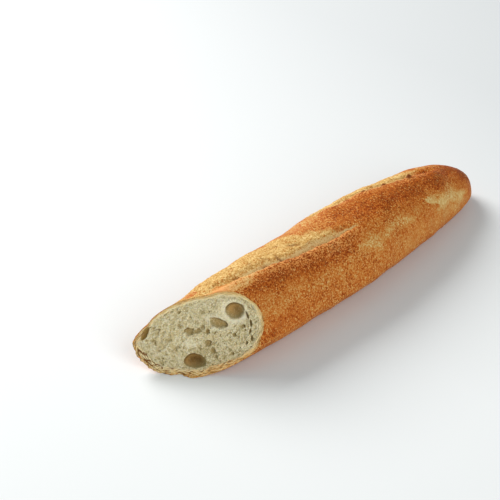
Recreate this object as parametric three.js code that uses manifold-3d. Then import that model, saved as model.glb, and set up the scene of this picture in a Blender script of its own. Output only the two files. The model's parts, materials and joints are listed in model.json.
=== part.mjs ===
import * as THREE from "three";
import { mergeVertices } from "three/addons/utils/BufferGeometryUtils.js";
import Module from "manifold-3d";

// Half a baguette, lying on the flat strip that the baking tray leaves under it.
// Millimetres, +X from the cut face to the rounded end, +Z up.
// A station is a place along the loaf. A section angle runs round it: 0 at the +Y side,
// 90 at the top, 180 at the -Y side and 270 underneath.

// The loaf
const loafLength = 330.7;          // from station 0, which the cut removes, to the tip
const endLength = 21.5;            // stretch in which the end rounds off
const endFullness = 1.85;          // 2 gives an ellipse, less gives a more pointed end
const widths = [62.5, 57.3, 64.2, 63.6, 64.8, 60.0, 49.4, 30.3]; // at even steps along the loaf
const widthToHeight = 1.27;
const waistNear = 0.38;            // height of the widest line over the height, -Y side
const waistFar = 0.415;            // the same on the +Y side
const topFullness = 0.89;          // below 1 widens the shoulders, above 1 slims them
const bottomFullness = 1.37;
const sideBow = -5.9;              // how far the middle of the loaf bends sideways
const topShift = 0.05;             // sideways shift of the top over the height
const endLift = 0.3;               // share of the lost height by which the tip leaves the tray
const trayFlat = 1.5;              // depth pressed flat by the tray

// The knife cut: a slanting plane
const cutStation = 48.6;           // where it meets the middle of the loaf
const cutHeight = 25;              // height of that middle
const cutBias = 0.814;             // mm along the loaf for each mm across it
const cutLean = 0.721;             // mm along the loaf for each mm up
const crustThickness = 2.2;
const crumbSink = 0.7;             // the soft crumb stands back behind the crust's rim

// Scored slashes: the dough opens beside a raised lip that crosses the top of the loaf.
// lipFrom, lipRise and lipSag give the lip's angle at the start, its gain and its curve.
// opening is the width of the opening in degrees, which grows over fadeIn and shrinks over fadeOut.
const slashes = [
  {
    start: 56, end: 191, lipFrom: 79.5, lipRise: 60, lipSag: 24,
    opening: 50, fadeIn: 48, fadeOut: 56, lip: 2.1, groove: 2.0,
  },
  {
    start: 168, end: 297, lipFrom: 64, lipRise: 37, lipSag: 7.5,
    opening: 42, fadeIn: 34, fadeOut: 34, lip: 1.5, groove: 1.6,
  },
];
const lipCrown = 3.4;              // the lip is highest this far from its edge
const lipCurl = 4.2;               // how far its swelling falls away from there towards the edge
const lipSpread = 7.5;             // and how far over the crust
const lipEdge = 1.5;               // half the width of the step from the lip to the groove
const grooveSpread = 3.6;          // how far the groove under the lip reaches over the opening
const openingDrop = 0.9;           // the torn opening lies a little lower than the crust
const farEdge = 1.8;               // half the width of the step at the opening's far edge
const crag = { height: 0.4, along: 17, round: 14 };  // torn dough: mm, mm and degrees for each wave

// Slow unevenness of the hand-shaped loaf: height, waves along it and waves round it
const swells = [
  { height: 0.5, along: 61, round: 2, phase: 0.6 },
  { height: 0.35, along: 37, round: 3, phase: 2.1 },
  { height: 0.25, along: 23, round: 5, phase: 4.0 },
];

// Single bumps and dents, each with its spread along the loaf and round it
const bumps = [
  { station: 167, angle: 198, height: 1.8, along: 30, round: 34 },
  { station: 78, angle: 195, height: -0.7, along: 14, round: 30 },
  { station: 268, angle: 185, height: -1.0, along: 34, round: 30 },
  { station: 306, angle: 84, height: 1.5, along: 9, round: 26 },
  { station: 70, angle: 44, height: 1.4, along: 9, round: 22 },
  { station: 97, angle: 48, height: -1.4, along: 8, round: 22 },
  { station: 157, angle: 56, height: -1.4, along: 10, round: 20 },
];

// Air holes in the cut face. across and up are measured on the face from the middle of the cut.
const airHoles = [
  { across: 25.2, up: 14.0, wide: 12.6, high: 11.2, deep: 6.0, turn: 0 },
  { across: 14.6, up: 5.7, wide: 12.6, high: 6.4, deep: 3.0, turn: -0.3 },
  { across: -3.8, up: -0.6, wide: 7.0, high: 5.2, deep: 2.8, turn: 0.1 },
  { across: 1.2, up: -0.2, wide: 6.0, high: 3.0, deep: 2.2, turn: 0.3 },
  { across: 0.5, up: -19.3, wide: 14.8, high: 9.4, deep: 7.0, turn: -0.06 },
  { across: 8.2, up: 0.0, wide: 3.2, high: 4.0, deep: 1.9, turn: 0 },
  { across: 8.6, up: -7.6, wide: 5.0, high: 4.8, deep: 2.4, turn: 0 },
  { across: 12.1, up: -12.5, wide: 3.6, high: 5.4, deep: 2.2, turn: 0.2 },
  { across: 33.2, up: 11.8, wide: 1.8, high: 6.0, deep: 1.7, turn: 0.4 },
  { across: 35.7, up: 6.6, wide: 1.8, high: 4.8, deep: 1.7, turn: 0.15 },
  { across: 36.3, up: -0.6, wide: 1.8, high: 4.6, deep: 1.5, turn: -0.1 },
  { across: -26.3, up: -7.7, wide: 3.8, high: 2.6, deep: 1.5, turn: -0.4 },
  { across: -18.6, up: -7.0, wide: 3.4, high: 2.6, deep: 1.3, turn: 0.5 },
];

// Where the knife tore the crust: a gap behind it, and two chips out of its lower edge
const crustTears = [
  { across: -33.2, up: -2.6, wide: 3.8, high: 10.5, deep: 2.8, turn: -0.5 },
  { across: -20.6, up: -25.4, wide: 4.6, high: 2.4, deep: 2.2, turn: -0.4 },
  { across: -9.8, up: -28.2, wide: 5.4, high: 2.2, deep: 2.4, turn: -0.1 },
];

// The lip of crust that the knife left standing out of the cut, beside those chips
const tornLip = { across: 1.8, up: -28.6, wide: 15, high: 6.5, deep: 2.7, turn: 0.1 };

// Small pores spread evenly over the rest of the crumb
const poreCount = 50;
const poreWidth = { smallest: 1.7, largest: 3.4 };
const faceHalfWidth = 44;
const faceHalfHeight = 29;
const poreClearance = 1.2;         // crumb left between two hollows
const rimClearance = 1.6;          // crumb left between a pore and the crust

// Faces of the shell
const firstStation = 4;
const stationStep = 5.7;
const endRings = 8;
const fineAngle = 2.5;             // column spacing over the slashes, degrees
const coarseAngle = 9;
const fineFrom = 28;
const fineTo = 133;
const outlineAngle = 2;

const crust = new THREE.MeshStandardMaterial({ color: 0xb87840, roughness: 0.62, metalness: 0 });

const wasm = await Module();
wasm.setup();

const clamp01 = (value) => Math.min(1, Math.max(0, value));
const smoothStep = (value) => clamp01(value) ** 2 * (3 - 2 * clamp01(value));
const signedPower = (value, power) => Math.sign(value) * Math.abs(value) ** power;

// Full width of the loaf at a station, on a smooth curve through the widths
const widthCurve = new THREE.SplineCurve(
  widths.map((width, index) => new THREE.Vector2((index * loafLength) / (widths.length - 1), width)),
);

function fullWidth(station) {
  return widthCurve.getPoint(clamp01(station / loafLength)).y;
}

function roundedWidth(station) {
  const along = clamp01((station - (loafLength - endLength)) / endLength);
  return fullWidth(station) * Math.sqrt(1 - along ** endFullness);
}

// Relief of one slash, in mm outwards, at a station and a section angle
function slashRelief(slash, station, angle) {
  const along = (station - slash.start) / (slash.end - slash.start);
  if (along <= 0 || along >= 1) {
    return 0;
  }
  const lipAngle = slash.lipFrom + slash.lipRise * along - slash.lipSag * along * along;
  const fade = Math.min((station - slash.start) / slash.fadeIn, (slash.end - station) / slash.fadeOut);
  const openness = clamp01(fade) ** 1.25;
  const millimetresPerDegree = (fullWidth(station) / 2) * (Math.PI / 180);
  const fromLip = (angle - lipAngle) * millimetresPerDegree;
  const width = slash.opening * openness * millimetresPerDegree;
  const strength = smoothStep(fade * 2);
  const overLip = smoothStep(0.5 + fromLip / (2 * lipEdge));
  const insideFarEdge = smoothStep(0.5 + (fromLip + width) / (2 * farEdge));
  const fromCrown = fromLip - lipCrown;
  const swelling = slash.lip * Math.exp(-((fromCrown / (fromCrown < 0 ? lipCurl : lipSpread)) ** 2));
  const tearing = Math.sin((2 * Math.PI * station) / crag.along) * Math.cos((2 * Math.PI * angle) / crag.round);
  const groove = slash.groove * Math.exp(-((fromLip / grooveSpread) ** 2));
  const sinking = openingDrop + groove + crag.height * tearing;
  return strength * (swelling * overLip - sinking * insideFarEdge * (1 - overLip));
}

function surfaceRelief(station, angle) {
  let relief = 0;
  for (const swell of swells) {
    const wave = (2 * Math.PI * station) / swell.along + swell.phase;
    relief += swell.height * Math.sin(wave) * Math.cos(swell.round * angle * (Math.PI / 180) + swell.phase);
  }
  for (const bump of bumps) {
    const away = ((station - bump.station) / bump.along) ** 2 + ((angle - bump.angle) / bump.round) ** 2;
    relief += bump.height * Math.exp(-away);
  }
  for (const slash of slashes) {
    relief += slashRelief(slash, station, angle);
  }
  return relief;
}

// A point of the loaf's skin, or of the same skin drawn inwards by inset
function skinPoint(station, angle, inset) {
  const turn = (angle * Math.PI) / 180;
  const side = Math.cos(turn);
  const rise = Math.sin(turn);
  const width = roundedWidth(station);
  const height = width / widthToHeight;
  const fullHeight = fullWidth(Math.min(station, loafLength - endLength)) / widthToHeight;
  const waist = waistNear + ((waistFar - waistNear) * (1 + side)) / 2;
  const isTop = rise >= 0;
  const acrossShare = isTop ? signedPower(side, topFullness) : side;
  const upShare = isTop ? waist + (1 - waist) * rise : waist - waist * Math.abs(rise) ** bottomFullness;
  const fade = smoothStep((loafLength - station) / (endLength * 0.6));
  const outwards = surfaceRelief(station, angle) * fade * (isTop ? 1 : 1 + rise) - inset;
  const alongShare = (station - loafLength / 2) / (loafLength / 2);
  const bow = sideBow * (1 - alongShare * alongShare);
  const across = (acrossShare * width) / 2 + topShift * (upShare - 0.5) * height + bow;
  const up = upShare * height + (fullHeight - height) * endLift;
  const pressed = up - trayFlat * (1 - upShare) * Math.min(1, (2 * width) / fullWidth(station));
  return new THREE.Vector3(
    station,
    across + outwards * side,
    Math.max(inset, pressed + outwards * rise),
  );
}

function stationList() {
  const stations = [];
  for (let station = firstStation; station < loafLength - endLength; station += stationStep) {
    stations.push(station);
  }
  for (let ring = 0; ring < endRings; ring += 1) {
    const turn = (ring / endRings) * (Math.PI / 2);
    stations.push(loafLength - endLength * (1 - Math.sin(turn)));
  }
  return stations;
}

function angleList() {
  const angles = [];
  for (let angle = fineFrom; angle < fineTo; angle += fineAngle) {
    angles.push(angle);
  }
  const coarseSpan = 360 - (fineTo - fineFrom);
  const coarseSteps = Math.round(coarseSpan / coarseAngle);
  for (let step = 0; step < coarseSteps; step += 1) {
    angles.push((fineTo + (step * coarseSpan) / coarseSteps) % 360);
  }
  return angles;
}

// The closed skin: rings of points joined by triangles, with a pole at each end
function skinGeometry(inset) {
  const stations = stationList();
  const angles = angleList();
  const points = [];
  for (const station of stations) {
    for (const angle of angles) {
      points.push(skinPoint(station, angle, inset));
    }
  }
  const startPole = points.length;
  points.push(new THREE.Vector3(firstStation, 0, fullWidth(0) / widthToHeight / 2));
  const tipPole = points.length;
  const tip = skinPoint(loafLength, 90, 0);
  points.push(new THREE.Vector3(loafLength - inset, tip.y, tip.z));
  const around = angles.length;
  const triangles = [];
  for (let column = 0; column < around; column += 1) {
    const next = (column + 1) % around;
    for (let ring = 0; ring + 1 < stations.length; ring += 1) {
      const here = ring * around;
      const ahead = here + around;
      triangles.push(here + column, here + next, ahead + next);
      triangles.push(here + column, ahead + next, ahead + column);
    }
    const last = (stations.length - 1) * around;
    triangles.push(startPole, next, column);
    triangles.push(tipPole, last + column, last + next);
  }
  const geometry = new THREE.BufferGeometry();
  geometry.setAttribute("position", new THREE.Float32BufferAttribute(points.flatMap((p) => p.toArray()), 3));
  geometry.setIndex(triangles);
  return geometry;
}

function solidOf(geometry) {
  geometry.deleteAttribute("normal");
  geometry.deleteAttribute("uv");
  const merged = mergeVertices(geometry, 1e-5);
  const mesh = new wasm.Mesh({
    numProp: 3,
    vertProperties: Float32Array.from(merged.attributes.position.array),
    triVerts: Uint32Array.from(merged.index.array),
  });
  return new wasm.Manifold(mesh);
}

function geometryOf(solid) {
  const mesh = solid.getMesh();
  const geometry = new THREE.BufferGeometry();
  geometry.setAttribute("position", new THREE.BufferAttribute(mesh.vertProperties, 3));
  geometry.setIndex(new THREE.BufferAttribute(mesh.triVerts, 1));
  geometry.computeVertexNormals();
  return geometry;
}

// The cut face's own axes: across it, up it, and straight out of it
const faceOut = new THREE.Vector3(-1, -cutBias, cutLean).normalize();
const faceAcross = new THREE.Vector3(cutBias, -1, 0).normalize();
const faceUp = new THREE.Vector3().crossVectors(faceOut, faceAcross);
const faceCentre = new THREE.Vector3(cutStation, 0, cutHeight);

function facePoint(across, up, out) {
  return faceCentre.clone()
    .addScaledVector(faceAcross, across)
    .addScaledVector(faceUp, up)
    .addScaledVector(faceOut, out);
}

// A slab parallel to the cut face, from depth below it to well outside the loaf
function slabAbove(depth) {
  const reach = 400;
  const slab = new THREE.BoxGeometry(reach, reach, reach);
  slab.applyMatrix4(new THREE.Matrix4().makeBasis(faceAcross, faceUp, faceOut));
  const middle = facePoint(0, 0, reach / 2 - depth);
  slab.translate(middle.x, middle.y, middle.z);
  return solidOf(slab);
}

// A rounded form whose middle lies on the cut face or below it by sunk
function roundedForm(form, sunk, detail) {
  const ball = new THREE.IcosahedronGeometry(0.5, detail);
  ball.scale(form.wide, form.high, form.deep * 2);
  ball.rotateZ(form.turn);
  ball.applyMatrix4(new THREE.Matrix4().makeBasis(faceAcross, faceUp, faceOut));
  const middle = facePoint(form.across, form.up, -sunk);
  ball.translate(middle.x, middle.y, middle.z);
  return solidOf(ball);
}

// A hollow in the crumb, which stands back from the rim
function hollow(hole, detail) {
  return roundedForm(hole, crumbSink, detail);
}

// Where the crumb ends on the cut face, as points (across, up)
function crumbOutline() {
  const outline = [];
  for (let angle = 0; angle < 360; angle += outlineAngle) {
    let spot = skinPoint(cutStation, angle, crustThickness);
    for (let pass = 0; pass < 12; pass += 1) {
      const station = cutStation - cutBias * spot.y + cutLean * (spot.z - cutHeight);
      spot = skinPoint((spot.x + station) / 2, angle, crustThickness);
    }
    spot.sub(faceCentre);
    outline.push(new THREE.Vector2(spot.dot(faceAcross), spot.dot(faceUp)));
  }
  return outline;
}

// Whether a spot lies inside an outline, with at least a clearance left to it
function isWellInside(spot, outline, clearance) {
  let crossings = 0;
  let previous = outline[outline.length - 1];
  for (const point of outline) {
    if ((point.y > spot.y) !== (previous.y > spot.y)) {
      const share = (spot.y - previous.y) / (point.y - previous.y);
      crossings += previous.x + share * (point.x - previous.x) > spot.x ? 1 : 0;
    }
    previous = point;
  }
  const nearest = Math.min(...outline.map((point) => point.distanceTo(spot)));
  return crossings % 2 === 1 && nearest > clearance;
}

// Fractions that fill 0 to 1 evenly, one after another
function evenFraction(index, base) {
  let fraction = 0;
  let share = 1 / base;
  for (let rest = index; rest > 0; rest = Math.floor(rest / base)) {
    fraction += share * (rest % base);
    share /= base;
  }
  return fraction;
}

function poreList() {
  const outline = crumbOutline();
  const pores = [];
  for (let index = 1; pores.length < poreCount && index < 600; index += 1) {
    const across = (evenFraction(index, 2) * 2 - 1) * faceHalfWidth;
    const up = (evenFraction(index, 3) * 2 - 1) * faceHalfHeight;
    const size = evenFraction(index, 5) ** 2;
    const wide = poreWidth.smallest + (poreWidth.largest - poreWidth.smallest) * size;
    const isClear = [...airHoles, ...crustTears, ...pores].every((other) => {
      const gap = Math.hypot(across - other.across, up - other.up);
      return gap > (wide + Math.max(other.wide, other.high)) / 2 + poreClearance;
    });
    if (isClear && isWellInside(new THREE.Vector2(across, up), outline, rimClearance + wide / 2)) {
      pores.push({ across, up, wide, high: wide * 0.8, deep: wide * 0.5, turn: index });
    }
  }
  return pores;
}

function breadSolid() {
  const uncut = solidOf(skinGeometry(0));
  const crumbCore = solidOf(skinGeometry(crustThickness));
  let bread = uncut.subtract(slabAbove(0));
  bread = bread.subtract(crumbCore.intersect(slabAbove(crumbSink)));
  bread = bread.add(uncut.subtract(crumbCore).intersect(roundedForm(tornLip, 0, 2)));
  for (const hole of [...airHoles, ...crustTears]) {
    bread = bread.subtract(hollow(hole, hole.wide > 8 ? 2 : 1));
  }
  for (const pore of poreList()) {
    bread = bread.subtract(hollow(pore, 0));
  }
  return bread;
}

function centredOnItsBox(geometry) {
  geometry.computeBoundingBox();
  const box = geometry.boundingBox;
  const middle = box.getCenter(new THREE.Vector3());
  geometry.translate(-middle.x, -middle.y, -box.min.z);
  return geometry;
}

const halfBaguette = new THREE.Mesh(centredOnItsBox(geometryOf(breadSolid())), crust);
halfBaguette.name = "half_baguette";

const part = new THREE.Group();
part.add(halfBaguette);

export default part;
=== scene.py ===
import json
import math

import bpy
import numpy as np
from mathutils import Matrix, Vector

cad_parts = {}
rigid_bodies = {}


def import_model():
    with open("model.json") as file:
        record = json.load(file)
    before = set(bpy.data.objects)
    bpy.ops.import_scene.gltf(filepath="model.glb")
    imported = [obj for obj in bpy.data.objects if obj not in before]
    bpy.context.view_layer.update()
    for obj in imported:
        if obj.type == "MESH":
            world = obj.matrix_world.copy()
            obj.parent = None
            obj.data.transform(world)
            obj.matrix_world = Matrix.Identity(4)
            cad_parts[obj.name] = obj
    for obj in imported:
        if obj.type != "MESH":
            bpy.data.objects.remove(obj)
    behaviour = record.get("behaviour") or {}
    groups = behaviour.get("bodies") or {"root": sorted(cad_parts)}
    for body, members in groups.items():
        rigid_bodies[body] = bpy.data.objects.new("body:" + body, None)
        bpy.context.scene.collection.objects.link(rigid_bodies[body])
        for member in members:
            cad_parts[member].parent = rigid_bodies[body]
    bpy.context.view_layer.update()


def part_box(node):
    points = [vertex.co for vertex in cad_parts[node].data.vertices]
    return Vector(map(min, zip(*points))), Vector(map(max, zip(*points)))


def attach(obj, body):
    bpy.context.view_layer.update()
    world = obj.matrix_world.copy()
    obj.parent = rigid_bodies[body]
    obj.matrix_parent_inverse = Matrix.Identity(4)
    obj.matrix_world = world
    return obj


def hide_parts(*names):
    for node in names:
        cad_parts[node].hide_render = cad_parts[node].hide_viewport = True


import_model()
partNode = "half_baguette"
lowCorner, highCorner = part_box(partNode)
mm = 0.001
print("frame loaded:", partNode)


# small helpers

def colour(red, green, blue):
    # a screen colour, 0 to 255, as the linear colour a socket takes
    parts = [c / 255 for c in (red, green, blue)]
    return [c / 12.92 if c <= 0.04045 else ((c + 0.055) / 1.055) ** 2.4 for c in parts] + [1.0]


def clamp01(value):
    return np.clip(value, 0.0, 1.0)


def smoothStep(value):
    t = clamp01(value)
    return t * t * (3 - 2 * t)


def bell(*spans):
    # 1 at the middle, and about a third where a span is 1
    return np.exp(-sum(span ** 2 for span in spans))


def degreesApart(angle, middle):
    return (angle - middle + 180) % 360 - 180


def wander(value, steps):
    # a sum of waves, each step being (size, wavelength, phase)
    return sum(size * np.sin(2 * np.pi * value / length + phase) for size, length, phase in steps)


def ripple(first, second, waves):
    # a sum of slanting waves, each being (size, radians for each unit of the first value, and of the second)
    return sum(size * np.sin(first * byFirst + second * bySecond) for size, byFirst, bySecond in waves)


def keptInBox(points):
    # no further out than the CAD model
    margin = 0.03 * mm
    return np.clip(points, np.array(lowCorner) + [margin, margin, 0], np.array(highCorner) - margin)


def makeMesh(name, points, faces, marks):
    mesh = bpy.data.meshes.new(name)
    mesh.from_pydata(points.tolist(), [], faces)
    for markName, values in marks.items():
        mark = mesh.attributes.new(markName, "FLOAT", "POINT")
        mark.data.foreach_set("value", np.asarray(values, np.float32))
    mesh.polygons.foreach_set("use_smooth", [True] * len(mesh.polygons))
    mesh.update()
    return mesh


def showObject(name, data):
    piece = bpy.data.objects.new(name, data)
    bpy.context.scene.collection.objects.link(piece)
    return piece


def fill(tree, node, inputs):
    # each input gets a link or a plain value
    for key, value in inputs.items():
        if isinstance(value, bpy.types.NodeSocket):
            tree.links.new(value, node.inputs[key])
        else:
            node.inputs[key].default_value = value


def addNode(tree, kind, inputs=None, **settings):
    node = tree.nodes.new(kind)
    for name, value in settings.items():
        setattr(node, name, value)
    fill(tree, node, inputs or {})
    return node


def calc(tree, operation, a, b=0.0, c=0.0, clamp=False):
    node = addNode(tree, "ShaderNodeMath", {0: a, 1: b, 2: c}, operation=operation)
    node.use_clamp = clamp
    return node.outputs[0]


def product(tree, *factors, clamp=False):
    total = factors[0]
    for number, factor in enumerate(factors[1:], 2):
        total = calc(tree, "MULTIPLY", total, factor, clamp=clamp and number == len(factors))
    return total


def weighed(tree, sources, weights, clamp=True):
    # the level, if there is one, plus each named source times its weight
    total = weights.get("level", 0.0)
    names = [name for name in weights if name != "level"]
    for name in names:
        total = calc(tree, "MULTIPLY_ADD", sources[name], weights[name], total, clamp and name == names[-1])
    return total


def vectorCalc(tree, operation, inputs):
    return addNode(tree, "ShaderNodeVectorMath", inputs, operation=operation).outputs[0]


def scaled(tree, vector, factor):
    return vectorCalc(tree, "SCALE", {0: vector, "Scale": factor})


def perSize(tree, size):
    # the scale of a pattern whose features have a size in the vector's own units
    return calc(tree, "DIVIDE", 1.0, size) if isinstance(size, bpy.types.NodeSocket) else 1 / size


def noiseAt(tree, vector, size, detail=2.0, roughness=0.5, distortion=0.0):
    # noise around zero, -0.5 to 0.5
    inputs = {"Vector": vector, "Scale": perSize(tree, size),
              "Detail": detail, "Roughness": roughness, "Distortion": distortion}
    return calc(tree, "SUBTRACT", addNode(tree, "ShaderNodeTexNoise", inputs).outputs[0], 0.5)


def cellsAt(tree, vector, size, smoothness=0.0, **settings):
    # one random cell for each spot, sharp-edged or smooth
    inputs = {"Vector": vector, "Scale": perSize(tree, size)}
    if smoothness:
        settings["feature"] = "SMOOTH_F1"
        inputs["Smoothness"] = smoothness
    return addNode(tree, "ShaderNodeTexVoronoi", inputs, **settings).outputs


def chanceOf(tree, cell, channel):
    return addNode(tree, "ShaderNodeSeparateXYZ", {0: cell["Color"]}).outputs[channel]


def rampOf(tree, factor, stops):
    node = addNode(tree, "ShaderNodeValToRGB", {0: factor})
    ramp = node.color_ramp
    while len(ramp.elements) < len(stops):
        ramp.elements.new(0.5)
    for element, (place, shade) in zip(ramp.elements, stops):
        element.position = place
        element.color = shade
    return node.outputs[0]


def mixColours(tree, share, first, second):
    return addNode(tree, "ShaderNodeMix", {0: share, 6: first, 7: second}, data_type="RGBA").outputs[2]


def coated(tree, shade, coats):
    # each coat, a share and a colour, goes over the last
    for share, coat in coats:
        shade = mixColours(tree, share, shade, coat)
    return shade


def markValues(tree, names):
    return {name: addNode(tree, "ShaderNodeAttribute", attribute_name=name).outputs["Fac"] for name in names}


def namedMark(tree, name, kind="FLOAT"):
    node = addNode(tree, "GeometryNodeInputNamedAttribute", {"Name": name}, data_type=kind)
    return node.outputs["Attribute"]


def newMaterial(name):
    # a material with its shader, and the place on the piece in millimetres
    material = bpy.data.materials.new(name)
    material.use_nodes = True
    tree = material.node_tree
    place = addNode(tree, "ShaderNodeTexCoord").outputs["Object"]
    return material, tree, tree.nodes["Principled BSDF"], scaled(tree, place, 1 / mm)


def newTree(name, sizes):
    # a modifier tree with a geometry input and one named number for each size
    tree = bpy.data.node_groups.new(name, "GeometryNodeTree")
    for side in ("INPUT", "OUTPUT"):
        tree.interface.new_socket("Geometry", in_out=side, socket_type="NodeSocketGeometry")
    for sizeName in sizes:
        tree.interface.new_socket(sizeName, in_out="INPUT", socket_type="NodeSocketFloat")
    return tree, tree.nodes.new("NodeGroupInput").outputs, tree.nodes.new("NodeGroupOutput")


def endTree(tree, outward, geometry, marks, direction, lift, material):
    # keeps the marks for the material, then moves the surface by the lift, in mm, along the direction
    for name, value in marks.items():
        stored = {"Geometry": geometry, "Name": name, "Value": value}
        geometry = addNode(tree, "GeometryNodeStoreNamedAttribute", stored, data_type="FLOAT").outputs[0]
    offset = scaled(tree, scaled(tree, direction, lift), mm)
    moved = addNode(tree, "GeometryNodeSetPosition", {"Geometry": geometry, "Offset": offset})
    real = addNode(tree, "GeometryNodeRealizeInstances", {0: moved.outputs[0]})
    dressed = addNode(tree, "GeometryNodeSetMaterial", {0: real.outputs[0], "Material": material})
    tree.links.new(dressed.outputs[0], outward.inputs[0])


def runTree(piece, tree, sizes):
    # sets each size by its socket's identifier, then keeps the plain mesh that the tree makes
    modifier = piece.modifiers.new(tree.name, "NODES")
    modifier.node_group = tree
    for item in tree.interface.items_tree:
        if item.item_type == "SOCKET" and item.in_out == "INPUT" and item.name in sizes:
            modifier[item.identifier] = float(sizes[item.name])
    graph = bpy.context.evaluated_depsgraph_get()
    mesh = bpy.data.meshes.new_from_object(piece.evaluated_get(graph))
    piece.modifiers.remove(modifier)
    points = np.empty(len(mesh.vertices) * 3)
    mesh.vertices.foreach_get("co", points)
    mesh.vertices.foreach_set("co", keptInBox(points.reshape(-1, 3)).ravel())
    piece.data = mesh
    mesh.name = piece.name


# the loaf's form, in millimetres
# A station is a place along the loaf. An angle runs round it in degrees: 0 at the +Y side, 90 at the top,
# 180 at the -Y side.

loaf = {
    "length": 330.7,          # from station 0, which the cut removes, to the tip
    "endLength": 21.5,        # stretch in which the end rounds off
    "endFullness": 1.85,
    "widths": [62.5, 57.3, 64.2, 63.6, 64.8, 60.0, 49.4, 30.3],
    "widthToHeight": 1.27,
    "waistNear": 0.38,
    "waistFar": 0.415,
    "topFullness": 0.89,
    "bottomFullness": 1.37,
    "sideBow": -5.9,
    "sidePlace": 5.635,       # from the loaf's own middle line to the middle of its box
    "topShift": 0.05,
    "endLift": 0.3,
    "calmEnd": 0.6,           # share of the end's stretch in which bumps and slashes fade out
    "trayFlat": 1.5,
    "swells": [(0.5, 61, 2, 0.6), (0.35, 37, 3, 2.1), (0.25, 23, 5, 4.0)],  # height, along, round, phase
    "bumps": [                # station, angle, height, spread along and round
        (167, 198, 1.8, 30, 34), (78, 195, -0.7, 14, 30), (268, 185, -1.0, 34, 30), (306, 84, 1.5, 9, 26),
        (70, 44, 1.4, 9, 22), (97, 48, -1.4, 8, 22), (157, 56, -1.4, 10, 20),
    ],
}

knifeCut = {
    "station": 48.6,
    "height": 25.0,
    "bias": 0.814,            # mm along the loaf for each mm across it
    "lean": 0.721,            # mm along the loaf for each mm up
    "fray": [(0.16, 61, 0.4), (0.12, 23, 2.0), (0.1, 9.1, 1.1), (0.07, 4.7, 5.0)],  # mm, degrees, phase
    # chips out of the edge, and below zero the lip that stands out: angle, half width, mm
    "chips": [(291.0, 4.0, 1.2), (273.0, 3.6, 1.8), (303.0, 2.5, 0.7), (22.0, 2.8, 2.2), (258.0, 9.5, -3.6)],
    "raggedAt": 308.0,        # the edge is most ragged here
    "raggedSpread": 44.0,
    "raggedLevel": 0.5,
    "ragged": [(0.5, 26, 0.4), (0.5, 12, 2.0), (0.45, 6.4, 1.1)],
    "rounds": 40,             # of closing in on the place where the knife's plane meets the skin
}

slashes = [
    {"start": 56, "end": 191, "lipFrom": 79.5, "lipRise": 60, "lipSag": 24, "opening": 50, "fadeIn": 48,
     "fadeOut": 56, "lip": 2.1, "groove": 2.0, "paleFrom": 20, "paleIn": 32, "paleTo": 191, "paleOut": 56,
     "crestSpread": 4.6, "softTo": 118, "tearAt": 0.0, "paleTaper": 1.6,
     "scorchAt": 11.0, "scorchSpread": 4.6, "scorch": 0.20,
     "creaseFrom": 84, "creaseTo": 192, "tears": [(119, 1.1, 3.5), (140, 0.9, 2.5), (154, 0.7, 2.0)]},
    {"start": 168, "end": 297, "lipFrom": 64, "lipRise": 37, "lipSag": 7.5, "opening": 42, "fadeIn": 34,
     "fadeOut": 34, "lip": 1.5, "groove": 1.6, "paleFrom": 166, "paleIn": 34, "paleTo": 284, "paleOut": 44,
     "crestSpread": 1.8, "softTo": 150, "tearAt": 0.6, "paleTaper": 0.2,
     "scorchAt": 12.5, "scorchSpread": 7.5, "scorch": 0.17,
     "creaseFrom": 150, "creaseTo": 160, "tears": [(218.5, 2.2, 1.6), (238.5, 2.4, 1.7), (261.5, 4.4, 2.4)]},
]

slashLook = {
    "lipCrown": 3.4,          # the lip is highest this far from its edge, in mm
    "lipCurl": 4.2,           # how far its swelling falls away from there towards the edge
    "lipSpread": 7.5,         # and how far over the crust
    "lipEdge": 1.1,           # half the width of the step from the lip to the groove
    "softEdge": 1.6,          # how much wider that step is before softTo
    "softFade": 30,
    "grooveSpread": 3.6,
    "openingDrop": 0.9,
    "openingTaper": 1.25,
    "leastOpening": 0.5,
    "farEdge": 1.6,
    "paleEdge": 4.6,          # the pale dough fades into the crust more slowly
    "creaseMiddle": -2.4,     # the smooth strip beside the lip, measured from the lip
    "creaseSpread": 1.5,
    "creaseSwell": (147, 16, 1.0),   # station where the strip is widest, spread along, and mm added
    "creaseSlim": (34, 30, 0.5),     # it slims this far before its end, over this stretch, by this share
    "creaseIn": 14,
    "creaseOut": 10,
    "creaseTorn": 0.9,        # how much of the torn dough's colour the strip has
    "stepPlace": -4.6,        # the torn dough steps up beyond the smooth strip
    "stepWidth": 1.6,
    "stepHeight": 0.7,
    "crestFrom": 1.5,         # the crest's colour starts to fade this far from the edge
    "tearLength": 1.5,        # the notches and teeth in the lip's edge, in their own spreads
    "tearFlat": 1.25,
    "tearRise": 0.5,          # share of a tear's lift that stands up
    "tearWidth": 1.3,
    "tearDark": (1.0, 1.7),   # how far its dark edge, partly painted shade, reaches, down the step and over the crust
    "darkestLift": 2.4,
    "lipWander": [(0.5, 31, 0.3), (0.5, 13, 1.9), (0.4, 6.1, 4.2)],   # degrees, mm, phase
    "farWander": [(2.2, 27, 1.3), (1.5, 11, 0.2), (1.1, 5.3, 3.0)],
    "farWanderIn": 1.6,
}

# short cracks in the torn dough: station, angle, half length, half width and depth in mm, turn in radians
cracks = [
    (121, 96.5, 4.0, 0.8, 1.2, 1.5),
    (112, 88, 4.0, 0.7, 0.6, 0.7),
    (138.5, 90, 4.0, 0.8, 0.8, 0.5),
    (153, 78, 3.0, 0.9, 0.8, 0.4),
    (86, 87, 1.8, 1.2, 0.8, 0.0),
    (101, 84, 1.6, 1.0, 0.7, 0.0),
    (107, 96, 1.9, 1.1, 0.8, 0.3),
    (92, 70, 3.0, 0.7, 0.6, 0.8),
    (130, 76, 2.6, 0.7, 0.6, 0.6),
    (203, 60, 3.4, 0.7, 0.7, 0.3),
    (233, 66, 3.0, 0.7, 0.7, 0.2),
]
crackBend = (0.35, 1.7)       # mm aside, and radians for each mm along
crackedFrom = 1.5             # a crack is whole where the dough is torn by one part in this

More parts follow.
